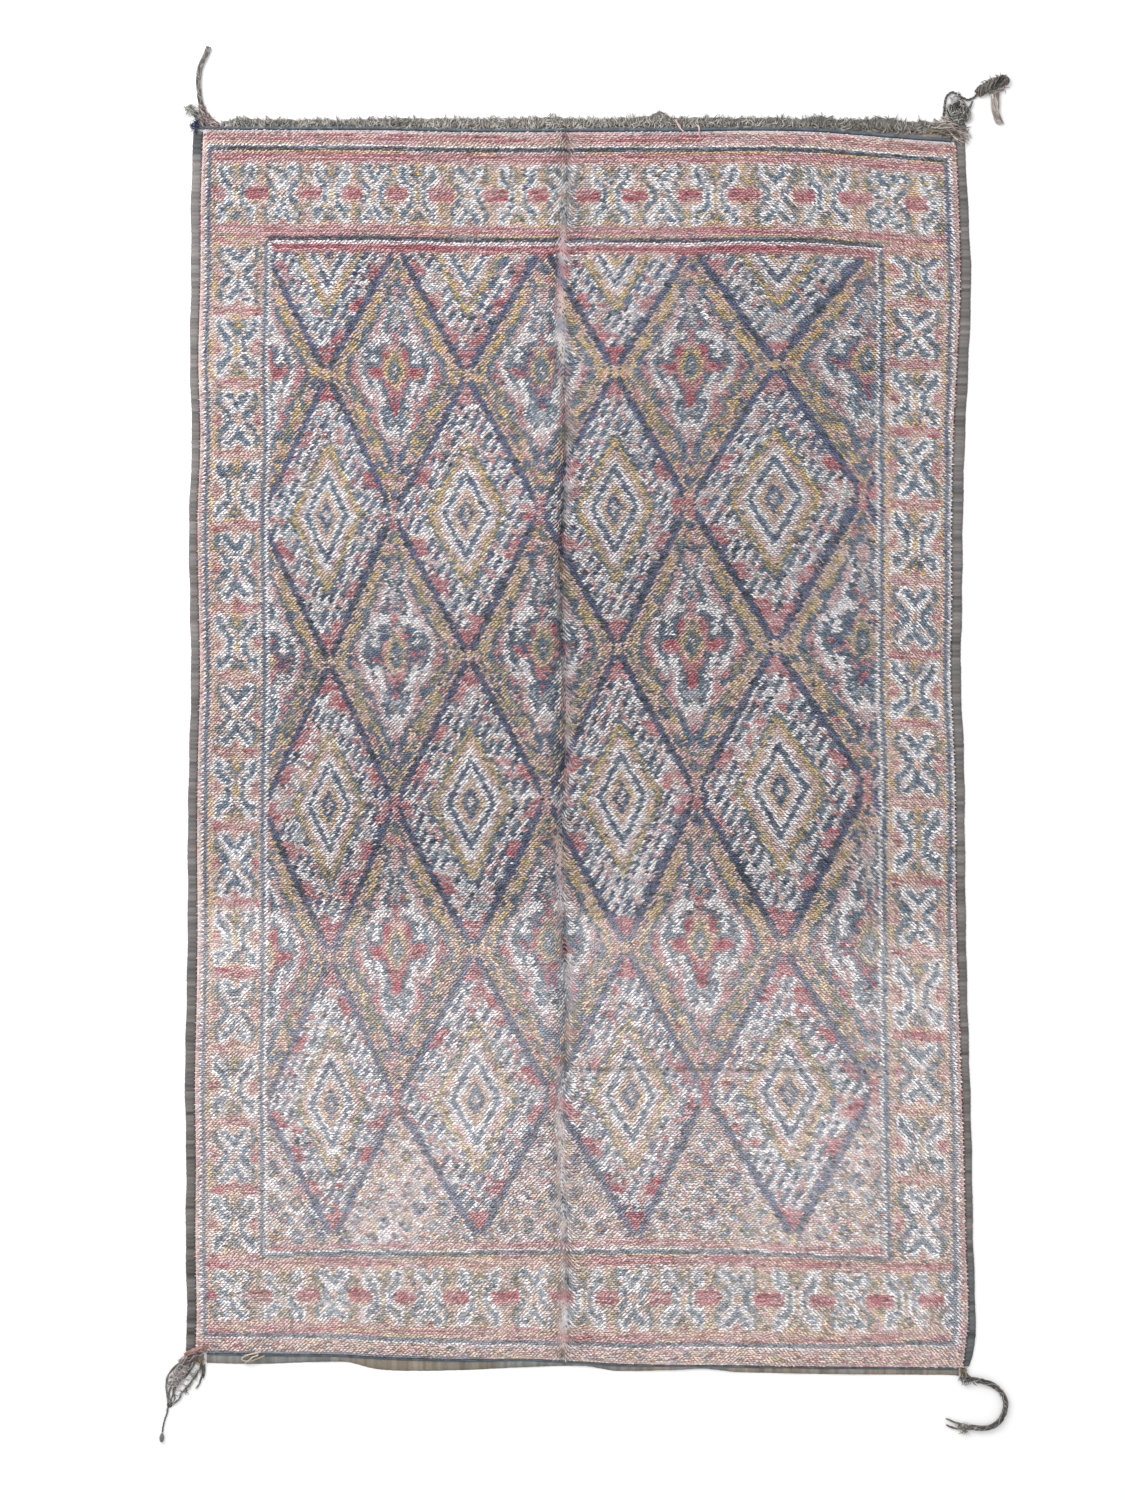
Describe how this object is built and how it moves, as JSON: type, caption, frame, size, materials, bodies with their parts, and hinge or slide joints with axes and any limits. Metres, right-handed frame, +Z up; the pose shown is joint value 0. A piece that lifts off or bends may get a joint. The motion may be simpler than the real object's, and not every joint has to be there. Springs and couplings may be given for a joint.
{
  "type": "azilal rug",
  "caption": "Flat hand-knotted wool rug with a low pile, wrapped selvedges, flat-woven ends, a shaggy fringe on one end and plaited or looped corner ends",
  "frame": {"origin": "on the floor, at the middle of the box round all but the free cords and what is on them", "axes": "+Y runs up the length of the rug towards the fringed end, +X across it to the right as seen from above, +Z up out of the floor"},
  "size_m": [2.0865, 3.4186, 0.022],
  "materials": {
    "pile": "soft knotted wool pile in many colours",
    "selvedge": "wrapped goat hair and wool, matt",
    "band": "flat weave, matt",
    "fringe": "loose wool ends, matt",
    "cord": "plaited wool, matt"
  },
  "bodies": {
    "root": {"rug_pile": "pile", "selvedge_left": "selvedge", "selvedge_right": "selvedge", "end_band_top": "band", "end_band_bottom": "band", "fringe_top": "fringe", "root_top_left": "cord", "plait_top_left": "cord", "tuft_top_right": "fringe", "cord_top_right": "cord", "tassel_top_right": "fringe", "loops_bottom_left": "cord", "cord_bottom_left": "cord", "knob_bottom_left": "cord", "root_bottom_right": "cord", "plait_bottom_right": "cord", "ends_bottom_right": "cord"}
  },
  "joints": []
}
